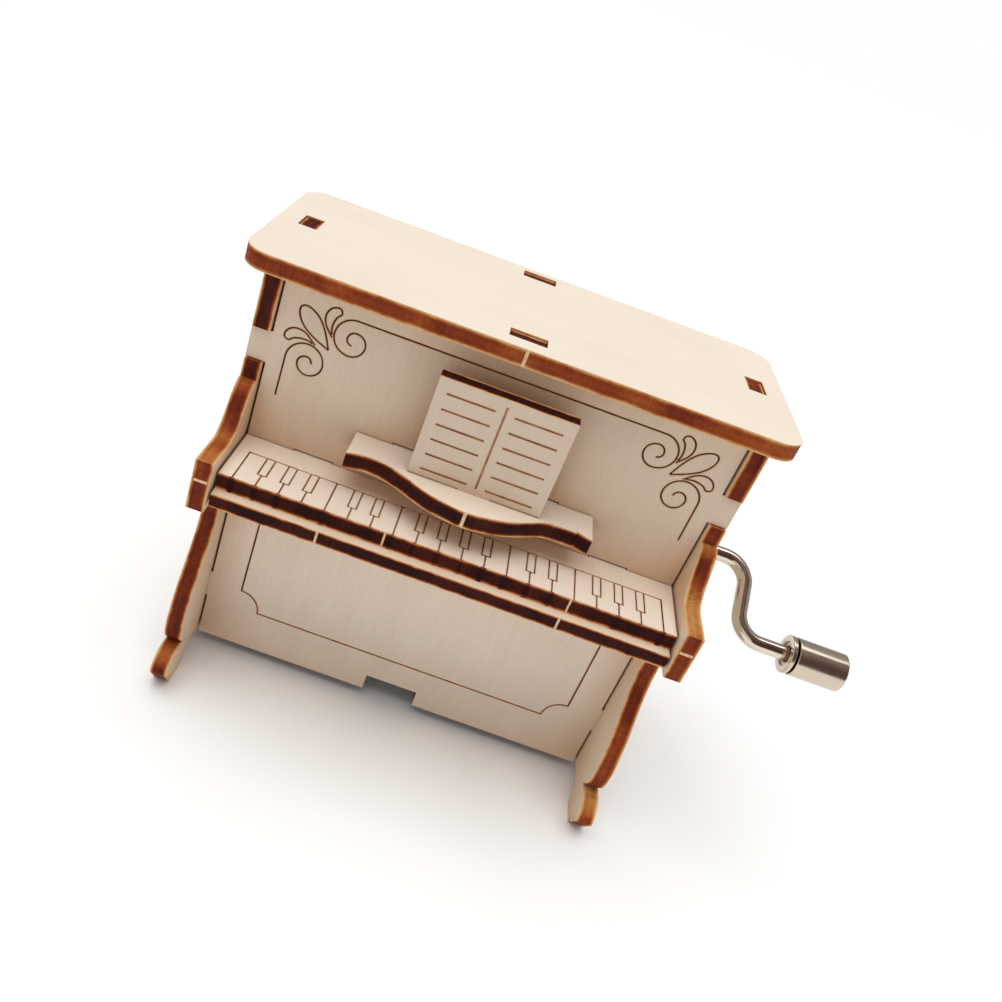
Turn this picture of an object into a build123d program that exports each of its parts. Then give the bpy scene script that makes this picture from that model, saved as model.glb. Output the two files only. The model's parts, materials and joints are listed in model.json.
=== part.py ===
from build123d import *

import os
from math import cos, pi, radians, sin, tan

# Hand-crank music box in the shape of an upright piano: a laser-cut plywood case
# around a comb-and-drum movement. Millimetres, +X to the player's right, +Y to the
# back, +Z up. While modelling, Y = 0 is the front panel's face and Z = 0 the ground.

# ---- driving dimensions: plywood case ----
PLY = 3.0                  # sheet thickness of every wooden piece
FIT = 0.15                 # play of a tab in its slot, each side
SLOT_HEADROOM = 0.3        # play above the tabs of the keyboard and the desk
TAB_RECESS = 0.35          # a tab ends this much below the surface it comes through
CASE_HEIGHT = 81.5
LID_WIDTH = 92.0
LID_FRONT_Y = -3.7
LID_BACK_Y = 37.2
LID_CORNER_R = 4.5
SIDE_INNER_X = 39.25
SIDE_GAP = 0.4             # between each side and the edges of the panels and shelves
PANEL_BOTTOM_Z = 2.7
SIDE_FRONT_Y = -0.7
SIDE_BACK_Y = 35.8
BACK_PANEL_Y = 32.1
LID_TAB_HALF = 3.0         # tabs of the front and back panels in the lid
SIDE_TAB_Y = 18.0          # centre of the side's tab in the lid
SIDE_TAB_HALF = 2.8
EAR_Z = 65.25              # centre of the upper ears of both panels
LOWER_TAB_Z = 14.6
EAR_HALF = 2.8
EAR_PROUD = 0.1            # the upper ears stand this far out of the sides
STAND_CENTRE_Y = 11.8      # middle of the footprint, which becomes the origin

# ---- driving dimensions: keyboard, desk and book ----
KEYBOARD_TOP_Z = 48.45
KEYBOARD_DEPTH = 14.2
BED_DEPTH = 16.0
BED_THICK = 2.5
SHELF_GAP = 0.2            # between a shelf's rear edge and the front panel
KEYBOARD_TAB_X = 27.0      # centres of the pairs of rear tabs
BED_TAB_X = 12.5
DESK_TAB_X = 11.3
REAR_TAB_HALF = 3.4
WHITE_KEY = 3.85
KEY_GROUPS = (4, 3, 5, 3, 4)
KEY_REAR_Y = -5.4
BLACK_KEY_FRONT_Y = -10.9
BLACK_KEY_HALF = 0.72
BLOCK_FRONT_Y = -16.5
BLOCK_TOP_Z = 50.9
BLOCK_BOTTOM_Z = 41.7
DESK_TOP_Z = 56.1
DESK_HALF_WIDTH = 21.15
DESK_END_DEPTH = 7.8
DESK_CENTRE_DEPTH = 12.8
BOOK_FRONT_Y = -7.0
BOOK_HALF_WIDTH = 11.4
BOOK_TOP_Z = 74.0
BOOK_X = 0.4               # the book stands a little right of the middle
BOOK_TAB_HALF = 2.8
BOOK_GAP = 0.2             # the book's shoulders stand this far above the desk
FOLD_GAP = 1.4
NOTCH_HALF = 5.1
NOTCH_HEIGHT = 3.4

# ---- driving dimensions: engraving ----
ENGRAVE_DEPTH = 0.3
KEY_LINE = 0.26
SCROLL_LINE = 0.32
BOOK_LINE = 0.36
FRAME_HALF_WIDTH = 32.8
FRAME_BOTTOM_Z = 11.5
FRAME_TOP_Z = 39.6
FRAME_CORNER = 4.0
SCROLL_TOP_Z = 74.8        # the line that joins the two corner ornaments
SCROLL_TAIL_Z = 57.5
SCROLL_START_X = -26.1
SCROLL_RADII = (3.2, 3.1, 2.3, 1.9, 1.3, 1.0)
SCROLL_MIRROR_SUM = 38.8   # each ornament is its own mirror image across X + Z = this

# ---- driving dimensions: movement ----
CRANK_Y = 22.5
CRANK_Z = 45.6
WHEEL_TEETH = 20
WHEEL_MODULE = 0.6
WORM_PITCH_R = 2.5
TOOTH_THICKNESS = 0.65     # of wheel teeth and worm thread alike, on the pitch line
ADDENDUM = 0.55
DEDENDUM = 0.7
FLANK_ANGLE = 20.0
WHEEL_WIDTH = 2.0
THREAD_TURNS = 5.5
DRUM_X = 20.0
DRUM_R = 6.2
DRUM_WALL = 0.7
DRUM_BOTTOM_Z = 10.5
DRUM_LENGTH = 30.0
DRUM_CAP = 1.5
DRUM_FOOT = 2.1            # the arbor's shoulder below the drum
PIN_R = 0.2
PIN_REACH = 0.45
PINS_PER_NOTE = 5
PIN_ANGLE = 137.5          # turn from one pin to the next, an even spread
NOTES = 18
NOTE_PITCH = 1.6
ARBOR_R = 1.2
JOURNAL_R = 0.8
JOURNAL_PROUD = 0.5
ARBOR_RISE = 3.7           # the arbor's shoulder above the crank's axis
HUB_R = 2.6
RUNNING_GAP = 0.05         # radial play of each journal in its bearing
END_PLAY = 0.3
BRACKET = 1.8
BRACKET_HALF = 5.0
BRACKET_REACH = 4.0        # in front of the drum's axis
LOWER_FLANGE_TOP_Z = 13.6
LOWER_SCREW_Z = 11.0
UPPER_SCREW_Z = 53.6
BED_PLATE = 2.0
BED_LEFT_X = -10.0
BED_RIGHT_X = 31.0
BED_BOTTOM_Z = 4.0
BED_TOP_Z = 56.0
FLANGE = 1.5
BEARING_THICK = 2.5
BEARING_HALF = 3.4
BEARING_SCREW_OFFSET = 3.2
BEARING_FLANGE_GAP = 0.4   # from the drum's centre line to each bearing's flange
WORM_HALF = 6.0
SCREW_R = 1.0
SCREW_HEAD_R = 1.9
SCREW_HEAD = 1.2
SLOT_DEPTH = 0.5
SLOT_HALF = 0.25
MOUNT_SCREW_R = 1.2
MOUNT_HEAD_R = 2.2
MOUNT_HEAD = 1.4

# ---- driving dimensions: comb ----
COMB_THICK = 1.0
COMB_LEFT_X = -8.0
COMB_SEAT_RIGHT_X = -1.5
COMB_MARGIN = 0.9
TOOTH_WIDTH = 1.25
BASS_TOOTH = 14.0
TREBLE_TOOTH = 9.0
TIP_GAP = 0.15
LEAD_TEETH = 6
LEAD_SIZE = 1.4
LEAD_SHRINK = 0.08         # each lead is this share smaller than the one below
LEAD_FROM_TIP = 2.0
COMB_SCREW_DEPTH = 5.0

# ---- driving dimensions: crank ----
WIRE_R = 1.5
WIRE_BEND_R = 4.8
ARM_X = 57.9
ARM_LENGTH = 15.2
ARM_DROP_ANGLE = 35.0      # at rest the arm points forward and this far below level
CRANK_HOLE_R = 2.5
SOCKET_R = 1.0
SOCKET_DEPTH = 5.5
KNOB_START_X = 67.9
KNOB_END_X = 79.1
KNOB_R = 3.75
KNOB_CAVITY_R = 2.8
KNOB_FLANGE = 0.9
KNOB_GROOVE = 0.4
KNOB_SPIGOT = 3.3
KNOB_END_WALL = 1.0
KNOB_EDGE = 0.3
KNOB_RECESS = 0.4
WIRE_END_GAP = 1.5
RETAINER_R = 2.4
RETAINER = 0.8
CLIP_OVERHANG = 0.6

# ---- derived places ----
SIDE_OUTER_X = SIDE_INNER_X + PLY
PANEL_HALF_WIDTH = SIDE_INNER_X - SIDE_GAP
SIDE_TOP_Z = CASE_HEIGHT - PLY
TAB_TOP_Z = CASE_HEIGHT - TAB_RECESS
KEYBOARD_Z = KEYBOARD_TOP_Z - PLY
BED_Z = KEYBOARD_Z - BED_THICK
DESK_Z = DESK_TOP_Z - PLY
WHEEL_R = WHEEL_MODULE * WHEEL_TEETH / 2
THREAD_PITCH = WHEEL_MODULE * pi
DRUM_Y = CRANK_Y - WHEEL_R - WORM_PITCH_R
DRUM_TOP_Z = DRUM_BOTTOM_Z + DRUM_LENGTH
WHEEL_Z = CRANK_Z - WHEEL_WIDTH / 2
PLATE_Y = BACK_PANEL_Y - BED_PLATE
FLANGE_Y = PLATE_Y - FLANGE
ARBOR_BOTTOM_Z = DRUM_BOTTOM_Z - DRUM_FOOT
ARBOR_TOP_Z = CRANK_Z + ARBOR_RISE
WORM_LEFT_X = DRUM_X - WORM_HALF
WORM_RIGHT_X = DRUM_X + WORM_HALF
CLIP_HIGH_X = WORM_LEFT_X - END_PLAY - BEARING_THICK - END_PLAY
TIP_X = DRUM_X - DRUM_R - PIN_REACH - TIP_GAP
FIRST_NOTE_Z = DRUM_BOTTOM_Z + (DRUM_LENGTH - (NOTES - 1) * NOTE_PITCH) / 2
SCREW_GRIP = FLANGE + BED_PLATE
MOUNT_SCREW_PLACES = [(-7.0, 6.9), (-7.0, 51.5), (28.0, 20.0), (28.0, 53.0)]
COMB_SCREW_Z = [DRUM_BOTTOM_Z + DRUM_LENGTH * share for share in (0.12, 0.5, 0.88)]
COMB_SCREW_X = (COMB_LEFT_X + COMB_SEAT_RIGHT_X) / 2


# ---- small helpers ----
def box(x0, x1, y0, y1, z0, z1):
    """A box between two corners."""
    size = Box(x1 - x0, y1 - y0, z1 - z0)
    return Pos((x0 + x1) / 2, (y0 + y1) / 2, (z0 + z1) / 2) * size


def rectangle(x0, x1, y0, y1):
    """A rectangle between two corners."""
    return Pos((x0 + x1) / 2, (y0 + y1) / 2) * Rectangle(x1 - x0, y1 - y0)


def mirrored_rectangles(centre, half, y0, y1):
    """A rectangle on each side of the middle, at plus and minus centre."""
    right = rectangle(centre - half, centre + half, y0, y1)
    left = rectangle(-centre - half, -centre + half, y0, y1)
    return right + left


def upright_sheet(outline, front_y):
    """A sheet parallel to the front panel; the outline is drawn in X and Z."""
    return Pos(0, front_y, 0) * extrude(Plane.XZ * outline, -PLY)


def side_sheet(outline, low_x):
    """A sheet parallel to the sides; the outline is drawn in Y and Z."""
    return Pos(low_x, 0, 0) * extrude(Plane.YZ * outline, PLY)


def level_sheet(outline, bottom_z, thickness=PLY):
    """A horizontal sheet; the outline is drawn in X and Y."""
    return Pos(0, 0, bottom_z) * extrude(outline, thickness)


def rod_x(radius, x0, x1, y, z):
    """A cylinder along X between two places."""
    return Pos((x0 + x1) / 2, y, z) * Rot(0, 90, 0) * Cylinder(radius, x1 - x0)


def ring_x(inner_r, outer_r, x0, x1, y, z):
    """A flat ring around an axis along X."""
    return rod_x(outer_r, x0, x1, y, z) - rod_x(inner_r, x0 - 1, x1 + 1, y, z)


def rod_y(radius, x, y0, y1, z):
    """A cylinder along Y between two places, in either order."""
    return Pos(x, (y0 + y1) / 2, z) * Rot(90, 0, 0) * Cylinder(radius, abs(y1 - y0))


def rod_z(radius, x, y, z0, z1):
    """A cylinder along Z between two heights."""
    return Pos(x, y, (z0 + z1) / 2) * Cylinder(radius, z1 - z0)


def line_strips(segments, width):
    """Engraved straight lines as rectangles with the line's width."""
    strips = Sketch()
    for (x0, y0), (x1, y1) in segments:
        low_x, high_x = min(x0, x1) - width / 2, max(x0, x1) + width / 2
        low_y, high_y = min(y0, y1) - width / 2, max(y0, y1) + width / 2
        strips += rectangle(low_x, high_x, low_y, high_y)
    return strips


# ---- plywood case ----
def lid():
    outline = Pos(0, (LID_FRONT_Y + LID_BACK_Y) / 2) * RectangleRounded(
        LID_WIDTH, LID_BACK_Y - LID_FRONT_Y, LID_CORNER_R
    )
    side_x = SIDE_INNER_X + PLY / 2
    half = SIDE_TAB_HALF + FIT
    outline -= mirrored_rectangles(side_x, PLY / 2 + FIT, SIDE_TAB_Y - half, SIDE_TAB_Y + half)
    for panel_y in (0, BACK_PANEL_Y):
        half = LID_TAB_HALF + FIT
        outline -= rectangle(-half, half, panel_y - FIT, panel_y + PLY + FIT)
    return level_sheet(outline, SIDE_TOP_Z)


def side_outline():
    """Side panel in Y and Z: cheek, key block, cabriole leg and claw foot, then the back."""
    arm = Spline(
        (SIDE_FRONT_Y - 0.5, 59.0), (-4.2, 56.3), (-6.7, 52.2), (-9.6, BLOCK_TOP_Z),
        tangents=[(-1, -0.15), (-1, 0)],
    )
    leg = Spline(
        (-5.3, 38.0), (-6.5, 29.2), (-9.6, 22.6), (-11.95, 15.2), (-9.4, 7.6),
        tangents=[(0, -1), (1, -0.75)],
    )
    toe = Spline(
        (-9.4, 7.6), (-13.2, 7.5), (-15.8, 4.8), (-14.9, 3.1),
        tangents=[(-1, -0.05), (0.62, -0.78)],
    )
    claws = Polyline(
        (-14.9, 3.1), (-13.3, 3.4), (-14.2, 2.2), (-13.4, 1.2), (-11.9, 1.9), (-12.7, 0.4), (-12.3, 0)
    )
    heel = Polyline((-12.3, 0), (-8.1, 0), (-7.3, 1.2))
    arch = Spline((-7.3, 1.2), (-6.9, 2.4), (-5.4, 3.3), tangents=[(0.3, 1), (1, 0)])
    rear_arch = Spline((25.2, 3.3), (26.7, 2.4), (27.6, 0), tangents=[(1, 0), (0.2, -1)])
    rest = [
        Line(arm @ 1, (BLOCK_FRONT_Y, BLOCK_TOP_Z)),
        Polyline(
            (BLOCK_FRONT_Y, BLOCK_TOP_Z), (BLOCK_FRONT_Y, BLOCK_BOTTOM_Z), (-5.3, BLOCK_BOTTOM_Z), leg @ 0,
        ),
        Line(arch @ 1, rear_arch @ 0),
        Polyline(
            rear_arch @ 1, (SIDE_BACK_Y, 0), (SIDE_BACK_Y, SIDE_TOP_Z), (SIDE_FRONT_Y, SIDE_TOP_Z),
            (SIDE_FRONT_Y, 59.0), arm @ 0,
        ),
    ]
    return make_face([arm, leg, toe, claws, heel, arch, rear_arch] + rest)


def side(low_x):
    outline = side_outline()
    half = SIDE_TAB_HALF
    outline += rectangle(SIDE_TAB_Y - half, SIDE_TAB_Y + half, SIDE_TOP_Z, TAB_TOP_Z)
    half = EAR_HALF + FIT
    outline -= rectangle(SIDE_FRONT_Y - 1, PLY + FIT, EAR_Z - half, EAR_Z + half)
    outline -= rectangle(-FIT, PLY + FIT, LOWER_TAB_Z - half, LOWER_TAB_Z + half)
    for tab_z in (EAR_Z, LOWER_TAB_Z):
        outline -= rectangle(BACK_PANEL_Y - FIT, SIDE_BACK_Y + 1, tab_z - half, tab_z + half)
    return side_sheet(outline, low_x)


def left_side():
    return side(-SIDE_OUTER_X)


def right_side():
    return side(SIDE_INNER_X) - rod_x(CRANK_HOLE_R, SIDE_INNER_X - 1, SIDE_OUTER_X + 1, CRANK_Y, CRANK_Z)


def panel_outline():
    """The outline that the front and back panels share."""
    outline = rectangle(-PANEL_HALF_WIDTH, PANEL_HALF_WIDTH, PANEL_BOTTOM_Z, SIDE_TOP_Z)
    outline += rectangle(-LID_TAB_HALF, LID_TAB_HALF, SIDE_TOP_Z, TAB_TOP_Z)
    ear_x = SIDE_OUTER_X + EAR_PROUD
    outline += rectangle(-ear_x, ear_x, EAR_Z - EAR_HALF, EAR_Z + EAR_HALF)
    outline += rectangle(-SIDE_OUTER_X, SIDE_OUTER_X, LOWER_TAB_Z - EAR_HALF, LOWER_TAB_Z + EAR_HALF)
    return outline


def scroll():
    """Quarter circles, each smaller than the last, that wind in anticlockwise from level at the top."""
    arcs = []
    x, z = SCROLL_START_X, SCROLL_TOP_Z
    for index, radius in enumerate(SCROLL_RADII):
        angle = 90 * (index + 1)
        centre_x = x - radius * cos(radians(angle))
        centre_z = z - radius * sin(radians(angle))
        arcs.append(CenterArc((centre_x, centre_z), radius, angle, 90))
        x = centre_x + radius * cos(radians(angle + 90))
        z = centre_z + radius * sin(radians(angle + 90))
    return arcs


def corner_scrolls():
    """Edges of the upper left ornament: half of it, then its image across the diagonal."""
    petal_outside = Spline(
        (-29.5, 70.6), (-30.9, 72.3), (-31.3, 74.1), (-30.1, 75.7), (-28.9, 74.8),
        tangents=[(-0.7, 1), (0, -1)],
    )
    petal_inside = Spline((-28.9, 74.8), (-29.8, 73.3), (-29.6, 71.1), tangents=[(-1, -0.6), (0.5, -1)])
    big_petal_side = Spline(
        (-29.5, 68.3), (-31.2, 71.9), (-33.6, 74.1), (-35.3, 74.1), tangents=[(-0.4, 1), (-1, -1)]
    )
    half = scroll() + [petal_outside, petal_inside, big_petal_side]
    diagonal = Plane(
        origin=(SCROLL_MIRROR_SUM / 2, SCROLL_MIRROR_SUM / 2, 0), x_dir=(0, 0, 1), z_dir=(1, 1, 0)
    )
    return half + [edge.mirror(diagonal) for edge in half]


def front_engraving():
    """Scroll corners joined by a line, and the framed field below the keyboard."""
    lines = Sketch()
    for edge in corner_scrolls():
        for piece in (edge, edge.mirror(Plane.YZ)):
            lines += trace(piece, SCROLL_LINE)
    tail_x = SCROLL_MIRROR_SUM - SCROLL_TOP_Z
    tail_top_z = SCROLL_MIRROR_SUM - SCROLL_START_X
    tails = [((sign * tail_x, SCROLL_TAIL_Z), (sign * tail_x, tail_top_z)) for sign in (-1, 1)]
    top = [((SCROLL_START_X, SCROLL_TOP_Z), (-SCROLL_START_X, SCROLL_TOP_Z))]
    lines += line_strips(tails + top, SCROLL_LINE)
    edge_x, low, high, corner = FRAME_HALF_WIDTH, FRAME_BOTTOM_Z, FRAME_TOP_Z, FRAME_CORNER
    uprights = [((sign * edge_x, low + corner), (sign * edge_x, high - corner)) for sign in (-1, 1)]
    levels = [((corner - edge_x, z), (edge_x - corner, z)) for z in (low, high)]
    lines += line_strips(uprights + levels, SCROLL_LINE)
    for sign_x, z, start in ((-1, low, 0), (1, low, 90), (1, high, 180), (-1, high, 270)):
        lines += trace(CenterArc((sign_x * edge_x, z), corner, start, 90), SCROLL_LINE)
    return lines


def front_panel():
    outline = panel_outline()
    outline -= rectangle(-NOTCH_HALF, NOTCH_HALF, PANEL_BOTTOM_Z - 1, PANEL_BOTTOM_Z + NOTCH_HEIGHT)
    shelves = (
        (KEYBOARD_TAB_X, KEYBOARD_Z, PLY + SLOT_HEADROOM),
        (BED_TAB_X, BED_Z, BED_THICK + FIT),
        (DESK_TAB_X, DESK_Z, PLY + SLOT_HEADROOM),
    )
    for centre, low_z, slot_height in shelves:
        outline -= mirrored_rectangles(centre, REAR_TAB_HALF + FIT, low_z, low_z + slot_height)
    panel = upright_sheet(outline, 0)
    return panel - extrude(Plane.XZ * front_engraving(), -ENGRAVE_DEPTH)


def back_panel():
    panel = upright_sheet(panel_outline(), BACK_PANEL_Y)
    for x, z in MOUNT_SCREW_PLACES:
        panel -= rod_y(MOUNT_SCREW_R + FIT, x, BACK_PANEL_Y - 1, BACK_PANEL_Y + PLY + 1, z)
    return panel


def shelf_outline(depth, tab_x):
    """A full-width shelf with two tabs at the back."""
    shelf = rectangle(-PANEL_HALF_WIDTH, PANEL_HALF_WIDTH, -depth, -SHELF_GAP)
    return shelf + mirrored_rectangles(tab_x, REAR_TAB_HALF, -SHELF_GAP, PLY - TAB_RECESS)


def key_lines():
    """Outline of nineteen white keys and their black keys."""
    left_x = -WHITE_KEY * sum(KEY_GROUPS) / 2
    segments = [((left_x, KEY_REAR_Y), (-left_x, KEY_REAR_Y))]
    x = left_x
    for keys in KEY_GROUPS:
        segments.append(((x, KEY_REAR_Y), (x, -KEYBOARD_DEPTH)))
        for step in range(1, keys):
            middle = x + step * WHITE_KEY
            low, high = middle - BLACK_KEY_HALF, middle + BLACK_KEY_HALF
            segments.append(((low, KEY_REAR_Y), (low, BLACK_KEY_FRONT_Y)))
            segments.append(((high, KEY_REAR_Y), (high, BLACK_KEY_FRONT_Y)))
            segments.append(((low, BLACK_KEY_FRONT_Y), (high, BLACK_KEY_FRONT_Y)))
            segments.append(((middle, BLACK_KEY_FRONT_Y), (middle, -KEYBOARD_DEPTH)))
        x += keys * WHITE_KEY
    segments.append(((x, KEY_REAR_Y), (x, -KEYBOARD_DEPTH)))
    return line_strips(segments, KEY_LINE)


def keyboard_plate():
    plate = level_sheet(shelf_outline(KEYBOARD_DEPTH, KEYBOARD_TAB_X), KEYBOARD_Z)
    return plate - Pos(0, 0, KEYBOARD_TOP_Z) * extrude(key_lines(), -ENGRAVE_DEPTH)


def key_bed():
    return level_sheet(shelf_outline(BED_DEPTH, BED_TAB_X), BED_Z, BED_THICK)


def desk_front():
    """Front edge of the desk: a wide bow between two hollows, drawn from left to right."""
    right = [(4.5, -12.0), (7.6, -10.8), (11.0, -8.7), (15.2, -7.0), (18.5, -6.9)]
    right.append((DESK_HALF_WIDTH, -DESK_END_DEPTH))
    left = [(-x, y) for x, y in reversed(right)]
    return Spline(*left, (0, -DESK_CENTRE_DEPTH), *right, tangents=[(1, 0.45), (1, -0.45)])


def music_desk():
    end_x = DESK_HALF_WIDTH
    rear_y = -SHELF_GAP
    back = Polyline((end_x, -DESK_END_DEPTH), (end_x, rear_y), (-end_x, rear_y), (-end_x, -DESK_END_DEPTH))
    outline = make_face([desk_front(), back])
    outline += mirrored_rectangles(DESK_TAB_X, REAR_TAB_HALF, rear_y, PLY - TAB_RECESS)
    half = BOOK_TAB_HALF + FIT
    outline -= rectangle(BOOK_X - half, BOOK_X + half, BOOK_FRONT_Y, BOOK_FRONT_Y + PLY)
    return level_sheet(outline, DESK_Z)


def book_lines():
    """A fold down the middle and six plain lines on each page."""
    page_left, page_right, margin, line_gap = 1.75, 9.4, 2.5, 2.78
    segments = [((0, DESK_TOP_Z + FOLD_GAP), (0, BOOK_TOP_Z - FOLD_GAP))]
    for line in range(6):
        z = BOOK_TOP_Z - margin - line * line_gap
        segments.append(((-page_right, z), (-page_left, z)))
        segments.append(((page_left, z), (page_right, z)))
    return line_strips(segments, BOOK_LINE)


def music_book():
    shoulder_z = DESK_TOP_Z + BOOK_GAP
    outline = rectangle(-BOOK_HALF_WIDTH, BOOK_HALF_WIDTH, shoulder_z, BOOK_TOP_Z)
    outline += rectangle(-BOOK_TAB_HALF, BOOK_TAB_HALF, DESK_Z + TAB_RECESS, shoulder_z)
    book = upright_sheet(outline, BOOK_FRONT_Y)
    book -= Pos(0, BOOK_FRONT_Y, 0) * extrude(Plane.XZ * book_lines(), -ENGRAVE_DEPTH)
    return Pos(BOOK_X, 0, 0) * book


# ---- movement: fixed pieces ----
def flange_screw_places():
    """Screws that hold the brackets and bearings to the bed plate, as X and Z."""
    return [
        (DRUM_X, LOWER_SCREW_Z), (DRUM_X, UPPER_SCREW_Z),
        (DRUM_X - BEARING_SCREW_OFFSET, CRANK_Z), (DRUM_X + BEARING_SCREW_OFFSET, CRANK_Z),
    ]


def movement_bed_plate():
    """Cast plate on the back panel, with the raised seat that carries the comb."""
    plate = box(BED_LEFT_X, BED_RIGHT_X, PLATE_Y, BACK_PANEL_Y, BED_BOTTOM_Z, BED_TOP_Z)
    seat_y = DRUM_Y + COMB_THICK / 2
    plate += box(COMB_LEFT_X, COMB_SEAT_RIGHT_X, seat_y, PLATE_Y, DRUM_BOTTOM_Z, DRUM_TOP_Z)
    for x, z in MOUNT_SCREW_PLACES:
        plate -= rod_y(MOUNT_SCREW_R, x, PLATE_Y - 1, BACK_PANEL_Y + 1, z)
    for x, z in flange_screw_places():
        plate -= rod_y(SCREW_R, x, PLATE_Y - 1, BACK_PANEL_Y + 1, z)
    for z in COMB_SCREW_Z:
        plate -= rod_y(SCREW_R, COMB_SCREW_X, seat_y - 1, seat_y + COMB_SCREW_DEPTH + 1, z)
    return plate


def drum_bracket(low_z, flange_low_z, flange_high_z, screw_z):
    """Angle bracket with the bearing hole of one drum journal."""
    half = BRACKET_HALF
    bracket = box(DRUM_X - half, DRUM_X + half, DRUM_Y - BRACKET_REACH, PLATE_Y, low_z, low_z + BRACKET)
    bracket += box(DRUM_X - half, DRUM_X + half, FLANGE_Y, PLATE_Y, flange_low_z, flange_high_z)
    bracket -= rod_z(JOURNAL_R + RUNNING_GAP, DRUM_X, DRUM_Y, low_z - 1, low_z + BRACKET + 1)
    return bracket - rod_y(SCREW_R + FIT, DRUM_X, FLANGE_Y - 1, PLATE_Y + 1, screw_z)


def lower_drum_bracket():
    low_z = ARBOR_BOTTOM_Z - END_PLAY - BRACKET
    return drum_bracket(low_z, low_z, LOWER_FLANGE_TOP_Z, LOWER_SCREW_Z)


def upper_drum_bracket():
    low_z = ARBOR_TOP_Z + END_PLAY
    return drum_bracket(low_z, low_z, BED_TOP_Z, UPPER_SCREW_Z)


def crank_bearing(low_x, flange_low_x, flange_high_x, hole_r, screw_x):
    """Angle bracket that one end of the worm turns in."""
    low_z, high_z = CRANK_Z - BEARING_HALF, CRANK_Z + BEARING_HALF
    bearing = box(low_x, low_x + BEARING_THICK, CRANK_Y - BEARING_HALF, PLATE_Y, low_z, high_z)
    bearing += box(flange_low_x, flange_high_x, FLANGE_Y, PLATE_Y, low_z, high_z)
    bearing -= rod_x(hole_r, low_x - 1, low_x + BEARING_THICK + 1, CRANK_Y, CRANK_Z)
    return bearing - rod_y(SCREW_R + FIT, screw_x, FLANGE_Y - 1, PLATE_Y + 1, CRANK_Z)


def inner_crank_bearing():
    low_x = WORM_LEFT_X - END_PLAY - BEARING_THICK
    flange_end_x = DRUM_X - BEARING_FLANGE_GAP
    screw_x = DRUM_X - BEARING_SCREW_OFFSET
    return crank_bearing(low_x, low_x, flange_end_x, ARBOR_R + RUNNING_GAP, screw_x)


def outer_crank_bearing():
    low_x = WORM_RIGHT_X + END_PLAY
    flange_start_x = DRUM_X + BEARING_FLANGE_GAP
    screw_x = DRUM_X + BEARING_SCREW_OFFSET
    return crank_bearing(low_x, flange_start_x, low_x + BEARING_THICK, WIRE_R + RUNNING_GAP, screw_x)


def screw(x, seat_y, z, shank_r, shank, head_r, head, direction):
    """A slotted round-head screw along Y; direction is the side its head stands on."""
    top_y = seat_y + direction * head
    body = rod_y(head_r, x, seat_y, top_y, z)
    body += rod_y(shank_r, x, seat_y, seat_y - direction * shank, z)
    slot = box(x - head_r, x + head_r, top_y - SLOT_DEPTH, top_y + SLOT_DEPTH, z - SLOT_HALF, z + SLOT_HALF)
    return body - slot


def bracket_screws():
    return [
        screw(x, FLANGE_Y, z, SCREW_R, SCREW_GRIP, SCREW_HEAD_R, SCREW_HEAD, -1)
        for x, z in flange_screw_places()
    ]


def movement_screws():
    outside_y = BACK_PANEL_Y + PLY
    return [
        screw(x, outside_y, z, MOUNT_SCREW_R, PLY + BED_PLATE, MOUNT_HEAD_R, MOUNT_HEAD, 1)
        for x, z in MOUNT_SCREW_PLACES
    ]


def comb_screws():
    seat_y = DRUM_Y - COMB_THICK / 2
    return [
        screw(COMB_SCREW_X, seat_y, z, SCREW_R, COMB_THICK + COMB_SCREW_DEPTH, SCREW_HEAD_R, SCREW_HEAD, -1)
        for z in COMB_SCREW_Z
    ]


def note_z(note):
    return FIRST_NOTE_Z + note * NOTE_PITCH


def tooth_length(note):
    return BASS_TOOTH + (TREBLE_TOOTH - BASS_TOOTH) * note / (NOTES - 1)


def comb():
    """Steel comb: a screwed-down root and one tooth per note, longest at the bottom."""
    low_z, high_z = DRUM_BOTTOM_Z, DRUM_TOP_Z
    bass_x = TIP_X - BASS_TOOTH - COMB_MARGIN
    treble_x = TIP_X - TREBLE_TOOTH + COMB_MARGIN
    outline = make_face(
        Polyline(
            (COMB_LEFT_X, low_z), (bass_x, low_z), (treble_x, high_z), (COMB_LEFT_X, high_z),
            close=True,
        )
    )
    for note in range(NOTES):
        z = note_z(note)
        root_x = TIP_X - tooth_length(note) - COMB_MARGIN
        outline += rectangle(root_x, TIP_X, z - TOOTH_WIDTH / 2, z + TOOTH_WIDTH / 2)
    plate = Pos(0, DRUM_Y - COMB_THICK / 2, 0) * extrude(Plane.XZ * outline, -COMB_THICK)
    for z in COMB_SCREW_Z:
        plate -= rod_y(SCREW_R + FIT, COMB_SCREW_X, DRUM_Y - 1, DRUM_Y + 1, z)
    return plate


def tuning_leads():
    """Lead lumps under the tips of the lowest teeth."""
    low_y = DRUM_Y + COMB_THICK / 2
    leads = []
    for note in range(LEAD_TEETH):
        z = note_z(note)
        size = LEAD_SIZE * (1 - LEAD_SHRINK * note)
        half = TOOTH_WIDTH / 2
        right_x = TIP_X - LEAD_FROM_TIP
        leads.append(box(right_x - size, right_x, low_y, low_y + size, z - half, z + half))
    return leads


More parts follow.
